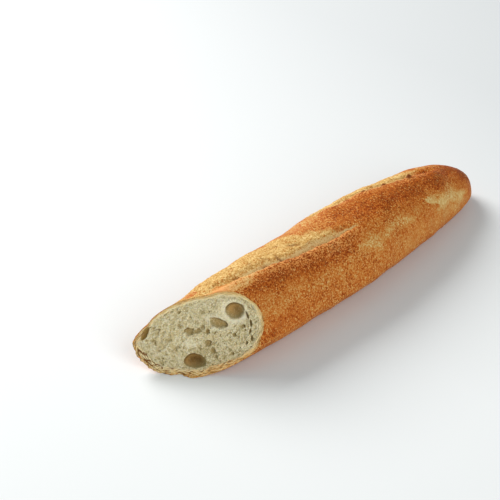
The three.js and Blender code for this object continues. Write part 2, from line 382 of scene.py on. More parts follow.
knots = np.array(loaf["widths"])


def fullWidth(station):
    # a smooth curve through the widths, which are even steps apart
    last = len(knots) - 1
    place = clamp01(station / loaf["length"]) * last
    index = np.clip(np.floor(place).astype(int), 0, last - 1)
    share = place - index
    before, here = knots[np.maximum(index - 1, 0)], knots[index]
    ahead, after = knots[index + 1], knots[np.minimum(index + 2, last)]
    slopeIn, slopeOut = (ahead - before) / 2, (after - here) / 2
    return (here + slopeIn * share
            + (3 * (ahead - here) - 2 * slopeIn - slopeOut) * share ** 2
            + (2 * (here - ahead) + slopeIn + slopeOut) * share ** 3)


def mmPerDegree(station):
    return fullWidth(station) / 2 * math.pi / 180


def slashRelief(slash, station, angle):
    # mm outwards, and the masks that the crust's material reads
    look = slashLook
    along = (station - slash["start"]) / (slash["end"] - slash["start"])
    lipAngle = slash["lipFrom"] + slash["lipRise"] * along - slash["lipSag"] * along ** 2
    lipAngle = lipAngle + wander(station, look["lipWander"])
    fromLip = (angle - lipAngle) * mmPerDegree(station)

    def fadeBetween(start, fadeIn, end, fadeOut):
        return np.minimum((station - slash[start]) / slash[fadeIn], (slash[end] - station) / slash[fadeOut])

    def beforeFarEdge(share, taper, edge):
        width = slash["opening"] * clamp01(share) ** taper * mmPerDegree(station)
        width = width + wander(station, look["farWander"]) * clamp01(share * look["farWanderIn"])
        return smoothStep(0.5 + (fromLip + np.maximum(width, look["leastOpening"])) / (2 * edge))

    fade = fadeBetween("start", "fadeIn", "end", "fadeOut")
    paleFade = fadeBetween("paleFrom", "paleIn", "paleTo", "paleOut")
    strength, paleStrength = smoothStep(fade * 2), smoothStep(paleFade * 2)
    edge = look["lipEdge"] + look["softEdge"] * smoothStep((slash["softTo"] - station) / look["softFade"])
    overLip = smoothStep(0.5 + fromLip / (2 * edge))

    # the raised lip, and the groove and the opening below it
    fromCrown = fromLip - look["lipCrown"]
    swelling = slash["lip"] * bell(fromCrown / np.where(fromCrown < 0, look["lipCurl"], look["lipSpread"]))
    step = smoothStep((look["stepPlace"] - fromLip) / look["stepWidth"]) * (1 - overLip)
    sinking = look["openingDrop"] + slash["groove"] * bell(fromLip / look["grooveSpread"])
    sinking = sinking - look["stepHeight"] * step
    opened = strength * beforeFarEdge(fade, look["openingTaper"], look["farEdge"]) * (1 - overLip)
    relief = strength * swelling * overLip - opened * sinking

    # the smooth strip beside the lip
    widest, spread, added = look["creaseSwell"]
    added = added * bell((station - widest) / spread)
    slimBefore, slimFade, slimShare = look["creaseSlim"]
    slim = 1 - slimShare * smoothStep((station - slash["creaseTo"] + slimBefore) / slimFade)
    crease = bell((fromLip - look["creaseMiddle"] * slim + added) / (look["creaseSpread"] * slim + added))
    crease = crease * smoothStep((station - slash["creaseFrom"]) / look["creaseIn"])
    crease = crease * smoothStep((slash["creaseTo"] - station) / look["creaseOut"]) * (1 - overLip)

    torn = paleStrength * beforeFarEdge(paleFade, slash["paleTaper"], look["paleEdge"]) * (1 - overLip)
    torn = np.maximum(torn, look["creaseTorn"] * crease)
    crest = np.maximum(0, fromLip - look["crestFrom"]) / slash["crestSpread"]
    crest = paleStrength * overLip * bell(crest)
    flap = np.zeros_like(station)
    fromTear = fromLip - slash["tearAt"]
    darkReach = np.where(fromTear > 0, look["tearDark"][1], look["tearDark"][0])
    for place, lift, spread in slash["tears"]:
        away = np.abs(station - place) / (spread * look["tearLength"])
        near = strength * clamp01(look["tearFlat"] - away)
        relief = relief + lift * look["tearRise"] * near * bell(fromTear / look["tearWidth"])
        darkness = min(1, (lift / look["darkestLift"]) ** 2)
        flap = np.maximum(flap, darkness * near * bell(fromTear / darkReach))
    # the crust bakes darkest a little behind the raised lip
    scorch = slash["scorch"] * strength * bell((fromLip - slash["scorchAt"]) / slash["scorchSpread"])
    return relief, {"torn": torn, "crease": crease, "crest": crest, "flap": flap, "scorch": scorch}


def crackRelief(station, angle):
    relief = np.zeros_like(station)
    for place, middle, halfLength, halfWidth, depth, turn in cracks:
        along = station - place
        across = (angle - middle) * mmPerDegree(station)
        u = along * math.cos(turn) + across * math.sin(turn)
        v = across * math.cos(turn) - along * math.sin(turn)
        v = v + crackBend[0] * np.sin(u * crackBend[1] + place)
        relief = relief + depth * bell((u / halfLength) ** 2, v / halfWidth)
    return relief


def skinAt(station, angle, inset=0.0):
    # the loaf's skin in its own frame, and the masks of its marks
    turn = np.radians(angle)
    side, rise = np.cos(turn), np.sin(turn)
    length, endLength = loaf["length"], loaf["endLength"]
    full = fullWidth(station)
    towardsTip = clamp01((station - (length - endLength)) / endLength)
    width = full * np.sqrt(np.maximum(1 - towardsTip ** loaf["endFullness"], 0))
    height = width / loaf["widthToHeight"]
    fullHeight = fullWidth(np.minimum(station, length - endLength)) / loaf["widthToHeight"]
    waist = loaf["waistNear"] + (loaf["waistFar"] - loaf["waistNear"]) * (1 + side) / 2
    isTop = rise >= 0
    acrossShare = np.where(isTop, np.sign(side) * np.abs(side) ** loaf["topFullness"], side)
    belowWaist = waist * np.abs(rise) ** loaf["bottomFullness"]
    upShare = np.where(isTop, waist + (1 - waist) * rise, waist - belowWaist)
    fade = smoothStep((length - station) / (endLength * loaf["calmEnd"]))
    relief = np.zeros_like(station)
    for size, along, around, phase in loaf["swells"]:
        relief = relief + size * np.sin(2 * np.pi * station / along + phase) * np.cos(around * turn + phase)
    for place, middle, size, along, around in loaf["bumps"]:
        relief = relief + size * bell((station - place) / along, (angle - middle) / around)
    masks = {"torn": 0.0, "crease": 0.0, "crest": 0.0, "flap": 0.0, "scorch": 0.0}
    for slash in slashes:
        slashPart, slashMasks = slashRelief(slash, station, angle)
        relief = relief + slashPart
        masks = {name: np.maximum(masks[name], slashMasks[name]) for name in masks}
    masks["crack"] = crackRelief(station, angle) * clamp01(masks["torn"] * crackedFrom)
    relief = relief - masks["crack"]
    outwards = relief * fade * np.where(isTop, 1, 1 + rise) - inset
    alongShare = (station - length / 2) / (length / 2)
    bow = loaf["sideBow"] * (1 - alongShare ** 2)
    across = acrossShare * width / 2 + loaf["topShift"] * (upShare - 0.5) * height + bow
    up = upShare * height + (fullHeight - height) * loaf["endLift"]
    pressed = up - loaf["trayFlat"] * (1 - upShare) * np.minimum(1, 2 * width / full)
    spot = np.stack([station, across + outwards * side, np.maximum(inset, pressed + outwards * rise)], -1)
    return spot, masks


def cutStationAt(angle, inset=0.0):
    # where the knife's plane meets the skin at each angle, with its frayed edge and its chips
    def roundTheEdge(steps):
        return wander(angle, [(size, 360 / round(360 / length), phase) for size, length, phase in steps])

    fray = roundTheEdge(knifeCut["fray"])
    for middle, halfWidth, knocked in knifeCut["chips"]:
        fray = fray + knocked * bell((angle - middle) / halfWidth)
    ragged = knifeCut["raggedLevel"] + roundTheEdge(knifeCut["ragged"])
    fray = fray + ragged * bell(degreesApart(angle, knifeCut["raggedAt"]) / knifeCut["raggedSpread"])
    station = np.full(angle.shape, knifeCut["station"])
    for _ in range(knifeCut["rounds"]):
        spot, _masks = skinAt(station, angle, inset)
        target = knifeCut["station"] - knifeCut["bias"] * spot[..., 1]
        target = target + knifeCut["lean"] * (spot[..., 2] - knifeCut["height"])
        station = (station + target) / 2
    return station + fray, fray


# the plane of the cut, and the loaf's place in the frame
faceOut = np.array([-1, -knifeCut["bias"], knifeCut["lean"]])
faceOut = faceOut / np.linalg.norm(faceOut)
faceAcross = np.array([knifeCut["bias"], -1, 0])
faceAcross = faceAcross / np.linalg.norm(faceAcross)
faceUp = np.cross(faceOut, faceAcross)
faceCentre = np.array([knifeCut["station"], 0, knifeCut["height"]])
framePlace = np.array([highCorner.x / mm - loaf["length"], loaf["sidePlace"], 0])


def toFrame(spots):
    # from the loaf's millimetres to the frame's metres
    return keptInBox((spots + framePlace) * mm)


# crust material

crustLook = {
    "pale": colour(228, 202, 140),
    "straw": colour(214, 172, 104),
    "golden": colour(206, 142, 72),
    "amber": colour(197, 112, 42),
    "brown": colour(180, 84, 20),
    "dark": colour(134, 50, 4),
    "crest": colour(238, 164, 98),        # the thin crust on the raised lip, baked lighter, with a painted highlight where it faces the light
    "speckPaleAndGlint": colour(240, 192, 118),   # pale specks: the crust's blisters, partly painted glints
    "curlGold": colour(232, 164, 78),    # and pale curled lines
    "tornPale": colour(240, 207, 142),
    "tornGold": colour(216, 168, 96),
    "tornToast": colour(184, 138, 74),
    "creasePale": colour(222, 194, 138),
    "notch": colour(128, 64, 24),         # dark where the lip has torn, the torn crust with painted shade beside it, and painted shade in the cracks
    "bakeStops": {"pale": 0.0, "straw": 0.2, "golden": 0.4, "amber": 0.58, "brown": 0.78, "dark": 1.0},
    "tornStops": {"tornPale": 0.0, "tornGold": 0.45, "tornToast": 0.8, "amber": 1.0},
    # size in mm, detail, roughness and distortion of each pattern
    "patterns": {"broad": (24.0, 2, 0.5), "patch": (6.5, 3, 0.6), "fleck": (1.55, 2, 0.6, 0.6),
                 "grain": (1.0, 1, 0.5), "worm": (2.0, 1, 0.5, 1.2)},
    "wormThinness": 15.0,
    "wormStrength": 0.55,
    "speckSpacing": 1.35,
    "speckRarity": 1.6,
    "speckSharpness": 9.0,
    "speckStrength": 0.50,
    "crestFrom": 0.02,
    "bumpDepth": 0.26 * mm,
    "gloss": 0.09,
}

# how much each pattern and mark counts in each part of the crust's look
crustShares = {
    "speckle": {"fleck": 1.2, "grain": 1.3},
    "speckleStrength": {"rough": 1.0, "broad": 1.8},
    "darkness": {"bake": 1.0, "broad": 0.25, "patch": 0.6, "speckle": 1.0, "lift": -0.3},
    # the crest's colour along the lip is partly a painted highlight
    "crest": {"crest": 0.26, "speckle": -1.1},
    "paleBakeAndHighlight": {"paleBakeAndHighlight": 1.4, "speckle": -0.8},
    "paleBakeAndHighlightEdge": {"paleBakeAndHighlight": 1.5},
    "speckReach": {"level": 0.46, "patch": 0.7},
    "worms": {"level": 0.5, "patch": 1.6},
    "toast": {"level": 0.46, "lift": 0.35, "patch": 0.7, "fleck": 1.9, "grain": 2.0},
    "crease": {"crease": 0.85, "grain": -1.8, "fleck": -1.6},
    "creaseEdge": {"crease": 2.0},
    "torn": {"level": -0.25, "torn": 1.5, "patch": 0.9, "fleck": 1.35},
    # the cracks are painted darker with their depth, as shade, and the lip's notches partly so
    "crack": {"crack": 0.8},
    "notch": {"level": -0.4, "flap": 2.4},
    "roughness": {"level": 0.58, "torn": 0.22, "fleck": 0.3},
    "height": {"fleck": 1.0, "grain": 0.6, "worm": 0.15},
}


def makeCrustMaterial():
    look = crustLook
    material, tree, surface, place = newMaterial("bakedCrust")
    source = markValues(tree, ("torn", "crease", "crest", "lift", "bake", "rough", "paleBakeAndHighlight", "crack", "flap"))
    for name, pattern in look["patterns"].items():
        source[name] = noiseAt(tree, place, *pattern)

    def share(name, clamp=True):
        return weighed(tree, source, crustShares[name], clamp)

    def shadeAlong(factor, stops):
        return rampOf(tree, factor, [(place, look[name]) for name, place in look[stops].items()])

    # how dark the skin is baked, and its pale specks and curled lines
    source["speckle"] = product(tree, share("speckle", clamp=False), share("speckleStrength", clamp=False))
    crestAndHighlightShare = product(tree, share("crest"), calc(tree, "GREATER_THAN", source["crest"], look["crestFrom"]))
    # the crust beside the cut takes the crest's colour: a lighter bake with a painted highlight
    paleBakeAndHighlightShare = product(tree, share("paleBakeAndHighlight", clamp=False), share("paleBakeAndHighlightEdge"), clamp=True)
    cell = cellsAt(tree, place, look["speckSpacing"])
    reach = calc(tree, "POWER", chanceOf(tree, cell, 0), look["speckRarity"])
    reach = product(tree, reach, share("speckReach", clamp=False))
    specks = calc(tree, "SUBTRACT", reach, cell["Distance"])
    specks = product(tree, specks, look["speckSharpness"], clamp=True)
    worm = product(tree, calc(tree, "ABSOLUTE", source["worm"]), look["wormThinness"])
    source["worm"] = product(tree, calc(tree, "SUBTRACT", 1.0, worm, clamp=True), share("worms"))
    skinShade = coated(tree, shadeAlong(share("darkness"), "bakeStops"), [
        (crestAndHighlightShare, look["crest"]),
        (paleBakeAndHighlightShare, look["crest"]),
        (product(tree, source["worm"], look["wormStrength"]), look["curlGold"]),
        (product(tree, specks, look["speckStrength"]), look["speckPaleAndGlint"]),
    ])

    # torn dough in the slashes
    creaseShare = product(tree, share("crease", clamp=False), share("creaseEdge"), clamp=True)
    tornShade = coated(tree, shadeAlong(share("toast"), "tornStops"), [(creaseShare, look["creasePale"])])
    shade = coated(tree, skinShade, [
        (share("torn"), tornShade), (share("crack"), look["notch"]), (share("notch"), look["notch"]),
    ])
    bump = {"Height": share("height", clamp=False), "Distance": look["bumpDepth"], "Strength": 1.0}
    bump = addNode(tree, "ShaderNodeBump", bump)
    fill(tree, surface, {"Base Color": shade, "Roughness": share("roughness"),
                         "Specular IOR Level": look["gloss"], "Normal": bump.outputs[0]})
    return material


# crusted body

crustBody = {
    "rings": 340,
    "endRings": 24,
    "columns": 252,
    # columns for each degree over those of the plain stretch, from one angle to another
    "fineStretches": [(38.0, 206.0, 1.9), (246.0, 345.0, 1.5)],
    "rimWall": 0.5,           # mm of skin that shows round the cut face
    "socketDepth": 24.0,
    "holdFrom": (2.5, 6.0, 3.0),   # the relief fades in over these mm from the cut, the tip and the tray
    "relief": {
        "Grain height": 0.16,
        "Grain size": 2.3,
        "Blister height": 0.32,
        "Blister spacing": 5.2,
        "Torn height": 0.62,
        "Torn size": 4.2,
        "Crumble height": 0.5,
        "Crumble size": 2.1,
    },
    "grainNoise": (2, 0.6),   # detail, roughness and distortion
    "cragNoise": (3, 0.6, 0.5),
    "crestCalm": 0.1,         # share by which the crest has less grain; the smooth strip has none
    "blisterReach": (0.34, 0.08),  # share of a cell, added by chance and at least
    "blisterRarity": 2.0,
    "blisterRise": 2.4,
    "crumbleSmoothness": 0.35,
    "crumbleMiddle": 0.45,
}

# how dark each stretch is baked: station, angle, spread along, spread round in degrees, and amount
bakeSpots = [
    (287, 100, 24, 20, 0.24),
    (318, 100, 16, 50, 0.34),
    (228, 110, 24, 9, 0.16),
    (104, 116, 30, 8, 0.04),
    (62, 92, 16, 14, -0.46),
    (60, 52, 16, 18, -0.38),
    (165, 62, 22, 12, -0.24),
    (284, 77, 11, 7, -0.34),
    (120, 112, 26, 5, 0.09),
    (86, 98, 15, 8, -0.52),
    (150, 92, 22, 9, -0.06),
    (100, 146, 26, 8, -0.14),
    (150, 147, 22, 8, -0.10),
    (185, 144, 12, 8, -0.34),
    (217, 139, 20, 7, -0.32),
    (245, 172, 60, 16, -0.14),
    (92, 166, 24, 12, 0.16),
    (70, 80, 14, 22, -0.10),
    (172, 92, 16, 12, -0.05),
    (130, 12, 46, 20, 0.12),
    (235, 8, 40, 18, -0.20),
    (60, 350, 30, 25, -0.10),
    (180, 322, 70, 18, 0.08),
    (300, 345, 22, 22, -0.18),
]
# the thin crust beside the cut is the brightest, baked lighter and with a painted highlight where light falls
# on its shoulder: station, angle, spread along, spread round
cutPaleBakeAndHighlight = (62, 93, 14, 13)
# the pale patch near the end begins at a sharp edge, and slants round the loaf from its middle on
endPatch = {"from": 259, "edge": 3.0, "to": 309, "fade": 16, "angle": 146, "spread": 17, "amount": -0.43,
            "slant": 0.35, "middle": 280}
# the level all over, what the sides and the underside add, and how far the spots' edges wander
bakeBase = {"level": 0.66, "sides": -0.04, "under": 0.05, "underFrom": 0.2, "underRise": 1.5,
            "alongWaves": [(4.5, 9, 1 / 7), (2.5, 21, -1 / 4.3)],
            "roundWaves": [(3.5, 5, 1 / 5.5), (2.0, -12, 1 / 2.6)]}
# the crust is pale right at the cut, most of all low on it: angle, spread, mm from the cut
rimFade = {"angle": 285, "spread": 80, "reach": 2.2, "amount": 0.5}
# the flecks are weaker low on the flank near the tip, and stronger on the crest
flecks = {"calmAngle": 128, "calmTurn": 40, "calmStation": 150, "calmStretch": 90, "calm": 0.4, "crest": 0.5}
poleBake = [0.5, 0.85]        # in the socket behind the cut, and at the tip


def bakeAt(station, angle):
    turn, base = np.radians(angle), bakeBase
    bend, sway = [ripple(turn, station, base[name]) for name in ("alongWaves", "roundWaves")]
    station, angle = station + bend, angle + sway
    bake = base["level"] + base["sides"] * np.cos(turn) ** 2
    bake = bake + base["under"] * smoothStep(-np.sin(turn) * base["underRise"] - base["underFrom"])
    for place, middle, along, around, amount in bakeSpots:
        bake = bake + amount * bell((station - place) / along, degreesApart(angle, middle) / around)
    patch = smoothStep((station - endPatch["from"]) / endPatch["edge"])
    patch = patch * smoothStep((endPatch["to"] - station) / endPatch["fade"])
    apart = angle - endPatch["angle"] - endPatch["slant"] * (station - endPatch["middle"])
    return bake + endPatch["amount"] * patch * bell(apart / endPatch["spread"])


def columnAngles():
    values = crustBody
    fine = np.linspace(0, 360, 3601)   # tenths of a degree
    density = np.ones(len(fine))
    for start, end, fineness in values["fineStretches"]:
        density = np.where((fine > start) & (fine < end), fineness, density)
    total = np.concatenate([[0], np.cumsum((density[1:] + density[:-1]) / 2)])
    return np.interp(np.arange(values["columns"]) / values["columns"] * total[-1], total, fine)


def makeCrustTree(material):
    values = crustBody
    tree, size, outward = newTree("crustRelief", values["relief"])
    place = scaled(tree, addNode(tree, "GeometryNodeInputPosition").outputs[0], 1 / mm)
    normal = addNode(tree, "GeometryNodeInputNormal").outputs[0]
    hold, torn, crease, crest = [namedMark(tree, name) for name in ("hold", "torn", "crease", "crest")]
    calm = calc(tree, "MAXIMUM", crease, product(tree, crest, values["crestCalm"]))
    calm = calc(tree, "SUBTRACT", 1.0, calm)

    # grain and blisters of the skin
    grain = noiseAt(tree, place, size["Grain size"], *values["grainNoise"])
    grain = product(tree, grain, size["Grain height"], 2.0)
    blister = cellsAt(tree, place, size["Blister spacing"])
    reach = calc(tree, "POWER", chanceOf(tree, blister, 0), values["blisterRarity"])
    reach = calc(tree, "MULTIPLY_ADD", reach, *values["blisterReach"])
    dome = calc(tree, "DIVIDE", blister["Distance"], reach)
    dome = calc(tree, "SUBTRACT", 1.0, product(tree, dome, dome), clamp=True)
    dome = product(tree, dome, size["Blister height"], reach, values["blisterRise"])
    skinLift = product(tree, calc(tree, "ADD", grain, dome), calm, calc(tree, "SUBTRACT", 1.0, torn))

    # crags and crumble of the torn dough
    crag = noiseAt(tree, place, size["Torn size"], *values["cragNoise"])
    crag = product(tree, crag, size["Torn height"], 2.0)
    crumble = cellsAt(tree, place, size["Crumble size"], values["crumbleSmoothness"])
    lump = calc(tree, "SUBTRACT", values["crumbleMiddle"], crumble["Distance"])
    tornLift = calc(tree, "MULTIPLY_ADD", lump, size["Crumble height"], crag)
    tornLift = product(tree, tornLift, torn, calm)
    lift = product(tree, calc(tree, "ADD", skinLift, tornLift), hold)
    endTree(tree, outward, size[0], {"lift": lift}, normal, lift, material)
    return tree


def makeCrustBody(material):
    values = crustBody
    angles = columnAngles()
    cutAt, _fray = cutStationAt(angles)
    evenTo = loaf["length"] - loaf["endLength"]
    shares = np.linspace(0, 1, values["rings"])[:, None]
    stations = cutAt[None, :] + (evenTo - cutAt)[None, :] * shares
    turns = np.linspace(0, np.pi / 2, values["endRings"] + 2)[1:-1]
    endStations = loaf["length"] - loaf["endLength"] * (1 - np.sin(turns))
    stations = np.concatenate([stations, np.repeat(endStations[:, None], len(angles), 1)])
    skin, masks = skinAt(stations, np.broadcast_to(angles, stations.shape))

    # the skin turns in at the cut and runs back behind the crumb
    innerAt, _fray = cutStationAt(angles, values["rimWall"])
    rimInner, _masks = skinAt(innerAt, angles, values["rimWall"])
    socket, _masks = skinAt(innerAt + values["socketDepth"], angles, values["rimWall"] * 2)
    points = np.concatenate([socket[None], rimInner[None], skin])
    innerRings = np.zeros((2, len(angles)))
    fromCut = np.concatenate([innerRings, stations - cutAt[None, :]])
    fromTip = loaf["length"] - np.concatenate([innerRings, stations])
    fromTray = points[..., 2]
    marks = {name: np.concatenate([innerRings, mask]) for name, mask in masks.items()}
    marks["hold"] = 1.0
    for away, fadeIn in zip((fromCut, fromTip, fromTray), values["holdFrom"]):
        marks["hold"] = marks["hold"] * smoothStep(away / fadeIn)
    place, middle, along, around = cutPaleBakeAndHighlight
    marks["paleBakeAndHighlight"] = bell((points[..., 0] - place) / along, (angles[None, :] - middle) / around)
    atRim = bell(fromCut / rimFade["reach"]) * bell((angles - rimFade["angle"]) / rimFade["spread"])[None, :]
    marks["bake"] = bakeAt(np.maximum(points[..., 0], 0), np.broadcast_to(angles, points.shape[:2]))
    marks["bake"] = marks["bake"] + marks.pop("scorch") - rimFade["amount"] * atRim
    calmFlank = smoothStep((angles[None, :] - flecks["calmAngle"]) / flecks["calmTurn"])
    calmFlank = calmFlank * smoothStep((points[..., 0] - flecks["calmStation"]) / flecks["calmStretch"])
    marks["rough"] = 1.0 - flecks["calm"] * calmFlank + flecks["crest"] * marks["crest"]

    rings, around = points.shape[:2]
    socketPole = rings * around
    tipPole = socketPole + 1
    tip, _masks = skinAt(np.array([loaf["length"]]), np.array([90.0]))
    spots = np.concatenate([points.reshape(-1, 3), socket.mean(0)[None], tip])
    sides = [(column, (column + 1) % around) for column in range(around)]
    last = (rings - 1) * around
    faces = []
    for here in range(0, last, around):
        ahead = here + around
        faces += [(here + a, here + b, ahead + b, ahead + a) for a, b in sides]
    for a, b in sides:
        faces += [(socketPole, b, a), (tipPole, last + a, last + b)]
    for name in marks:
        atPoles = poleBake if name == "bake" else [0.0, 0.0]
        marks[name] = np.concatenate([marks[name].ravel(), atPoles])
    body = showObject("crusted_body", makeMesh("crusted_body", toFrame(spots), faces, marks))
    runTree(body, makeCrustTree(material), values["relief"])
    return body


# cut face: the crust's thickness and the open crumb

# air holes on the cut face: across and up from its middle, wide, high and deep in mm, turn in radians, and
# the side on which the wall is steep, in degrees from across towards up
airHoles = [
    (25.2, 14.0, 12.8, 11.4, 5.6, 0.0, 105),
    (14.6, 5.7, 12.8, 6.6, 3.0, -0.3, 40),
    (-3.8, -0.6, 7.2, 5.4, 2.4, 0.1, 110),
    (1.2, -0.2, 6.2, 3.2, 2.0, 0.3, 80),
    (0.5, -19.3, 15.0, 9.6, 7.6, -0.06, 130),
    (8.2, 0.0, 3.2, 4.0, 1.9, 0.0, 90),
    (8.6, -7.6, 5.0, 4.8, 2.2, 0.0, 60),
    (12.1, -12.5, 3.6, 5.4, 2.0, 0.2, 60),
    (33.2, 11.8, 1.7, 6.0, 2.6, 0.4, 0),
    (35.7, 6.6, 1.6, 5.4, 2.6, 0.15, 0),
    (35.4, 1.2, 1.5, 4.0, 2.2, -0.2, 0),
    (36.6, -3.0, 1.5, 4.2, 2.4, -0.1, 0),
    (31.6, 4.6, 1.3, 2.8, 1.8, 0.3, 0),
    (33.4, -6.4, 1.6, 3.0, 1.8, -0.3, 0),
    (-26.3, -7.7, 3.8, 2.6, 1.6, -0.4, 90),
    (-25.0, -1.4, 6.0, 3.6, 1.0, 0.5, 90),
    (-18.6, -7.0, 3.4, 2.6, 1.1, 0.5, 90),
    (-13.0, -12.2, 4.0, 3.0, 1.0, 0.2, 90),
    (22.5, -11.5, 3.2, 2.4, 1.2, 0.4, 90),
    (4.0, 12.5, 4.6, 3.2, 1.0, 0.1, 90),
    (-12.5, 8.5, 4.4, 2.8, 0.9, 0.4, 90),
]
holeLook = {
    "uneven": 0.06,
    "evener": {0: 0.02, 4: 0.035},   # the two largest holes are rounder
    "steepness": 1.1,
    "gentleFloor": 1.25,      # power by which the wall rises on the gentle side
    "largeFrom": 20,          # wide times high: from here on the steep side gets painted shade and the gentle one painted light
    "edge": 8,                # how sharply both begin at the edge
    "darkSide": (1.6, 0.6),   # how fast the painted shade grows with steepness, and from where
    "darkDepth": (1.4, 2.0),  # how far it reaches in, and how fast it fades
    "gentleSide": (1.15, 1.5),
    "slotBelow": 2,           # mm wide: a slot is painted dark all over, as shade
    "slotShade": 0.4,
    "slotEdge": 2.5,
    "ringed": 2,              # the first ones have a smooth pale ring
    "ringPlace": 1.4,
    "ringSpread": 0.5,
    # the ring is dimmer on the steep side by this share, as painted shade
    "ringShaded": 0.5,
}
# the gap torn between crumb and crust, the dip round the upper large hole, and a smooth film without pores
tornGap = {"across": -32.4, "up": -2.9, "wide": 3.7, "high": 10.5, "deep": 2.8, "turn": -0.45, "uneven": 0.08,
           "edge": 2.5}
bowl = {"across": 23.8, "up": 12.4, "wide": 20.0, "high": 17.5, "deep": 1.1, "edge": 1.2, "filmEdge": 1.4,
        "film": 0.8}
membrane = {"across": -2.4, "up": -8.2, "wide": 9.5, "high": 6.5, "edge": 1.3}
ovalLobes = [(1.0, 3), (0.7, 5)]   # strength, and how many round an uneven oval

crumbFace = {
    "gridStep": 0.23,
    "outlineSamples": 1440,
    "edgeInset": 0.3,         # the face starts this far inside the skin
    "edgeHold": 0.6,          # and its relief fades in over these mm
    "crustThickness": 2.0,
    "thicker": [(312, 40, 3.2), (238, 26, 2.0), (165, 34, 1.6), (95, 24, 0.8)],   # angle, spread, mm added
    "thicknessWander": [(0.3, 45, 0.2), (0.22, 20, 1.4), (0.15, 9, 3.3)],
    "crumbFade": 0.9,
    "crumbSink": 0.7,
    "sinkFade": (0.3, 1.2),   # mm before the crumb begins, and mm to its full depth
    "crumbSwell": (0.25, 4, 3.5),  # mm that the crumb stands up again, how far in, and spread
    "frayReach": 2.5,
    "plugDepth": 18.0,
    "plugInset": 2.2,
    "strandPitch": 1.15,      # the torn layers of the rim, from one to the next
    "strandFrom": 0.8,
    "strandWidth": 0.2,
    "strandWhole": 1.1,
    "strandWaves": [(1.3, 0.21, 0), (0.8, 0.53, 0), (0.6, 1.7, 1)],
    "strandBreaks": [(1, 0.42, 2.1), (0.7, 1.13, -1.7)],
    "flakeStretch": 3.4,      # how much longer the rim's flakes are than wide
    "flakeSquash": 1.1,
    "flakeSlant": [(0.5, 0, 1.9)],
    "flakeWaves": [(0.35, 0.8, 0), (0.2, 2.3, 0)],
    "streak": (0.5, 0.2),     # share of the crust's thickness at which a streak runs, and spread
    "streakLevel": 0.75,
    "streakWaves": [(0.5, 0.9, 0)],
    "squeeze": (6.5, 6.0),    # pores lie flat against the crust: mm by which they are squeezed, and reach
    "squeezeSpan": 3,         # points of the outline to each side, which give its direction
    "closeFrom": (-8, 18),    # the crumb grows finer from here on, over this stretch across
    "lowFrom": (-4, -18),     # and painted a little darker below here, as shade
    "relief": {
        "Coarse spacing": 5.2,
        "Medium spacing": 2.6,
        "Fine spacing": 1.25,
        "Pore depth": 0.9,
        "Wide cells": 4.4,
        "Close cells": 2.1,
        "Cell depth": 0.55,
        "Swell height": 0.8,
        "Grain height": 0.16,
        "Layer height": 0.45,
        "Flake spacing": 1.3,
        "Flake height": 1.3,
    },
    # largest and smallest radius as shares of the spacing, rarity of the large ones, share of cells left out
    "pores": {"Coarse spacing": (0.42, 0.16, 2.0, 0.5), "Medium spacing": (0.5, 0.2, 1.3, 0.3),
              "Fine spacing": (0.55, 0.25, 1.0, 0.1)},
    "twist": 4.5,             # mm by which the pores and cells are bent aside
    "twistNoise": {"Scale": 0.5, "Detail": 3.0, "Roughness": 0.6},
    "swellNoise": (7.0, 2),
    "grainNoise": (0.9, 2, 0.7),
    "cellEdge": 4.0,          # how steep the cells' walls are
    "cellDepths": (0.8, 0.2),      # share of a cell's depth, added by chance and at least
    "holeCalm": 0.22,         # how much an air hole smooths away the pores in it, down to the least share
    "leastPores": 0.25,
    "filmCalm": 0.8,
    "flakeMiddle": 0.42,
    "flakeSmoothness": 0.25,
}

# where on the rim each look is strongest: angle, spread and strength
rimZones = {
    "strands": [(312, 36, 1.0), (355, 22, 0.7), (90, 36, 0.45), (165, 30, 0.5), (232, 26, 0.25)],
    "flakes": [(312, 42, 1.0), (262, 24, 0.9), (228, 26, 0.6), (20, 40, 0.45), (165, 34, 0.2)],
    # the pale rim is partly the crust's own pale section and partly a painted highlight near angles 10 to 60,
    # where the edge catches the light
    "paleRimAndHighlight": [(316, 44, 1.0), (10, 34, 0.5), (60, 30, 0.7), (165, 34, 0.7), (100, 30, 0.35)],
    "goldRim": [(226, 34, 1.0), (262, 18, 0.5), (12, 26, 0.4)],
    "streak": [(66, 30, 1.0)],
}

crumbLook = {
    "cream": colour(219, 201, 152),
    "ivory": colour(248, 238, 206),
    "shade": colour(168, 150, 102),
    # painted shade in the air holes, from deep to deepest
    "deep": colour(192, 152, 90),
    "deepestShade": colour(124, 94, 46),
    "crustLine": colour(212, 150, 84),
    "crustTan": colour(228, 180, 108),
    "crustGold": colour(238, 204, 134),
    "crustPale": colour(246, 228, 180),
    "crustBrown": colour(136, 88, 40),
    "crustAmber": colour(230, 166, 90),
    # the torn gap between crumb and crust is painted darker, as shade in it
    "gapShadeBrown": colour(172, 142, 82),
    "rimStops": {"crustLine": 0.0, "crustTan": 0.2, "crustGold": 0.62, "crustPale": 1.0},
    "patterns": {"patch": (5.0, 2), "fleck": (1.1, 2, 0.6), "grit": (0.7, 1, 0.5)},
    # how strongly the pale rim, partly a painted highlight, shows
    "paleRimGain": 1.4,
    "paleRimStrength": 0.8,
    "deepestFrom": 3.4,       # mm deep, from where the darkest painted shade begins
    "layersFrom": 0.05,
    "bumpDepth": 0.2 * mm,
    "shader": {"Roughness": 0.75, "Specular IOR Level": 0.15, "Subsurface Weight": 0.25,
               "Subsurface Radius": (1.0, 0.72, 0.38), "Subsurface Scale": 1.2 * mm},
}

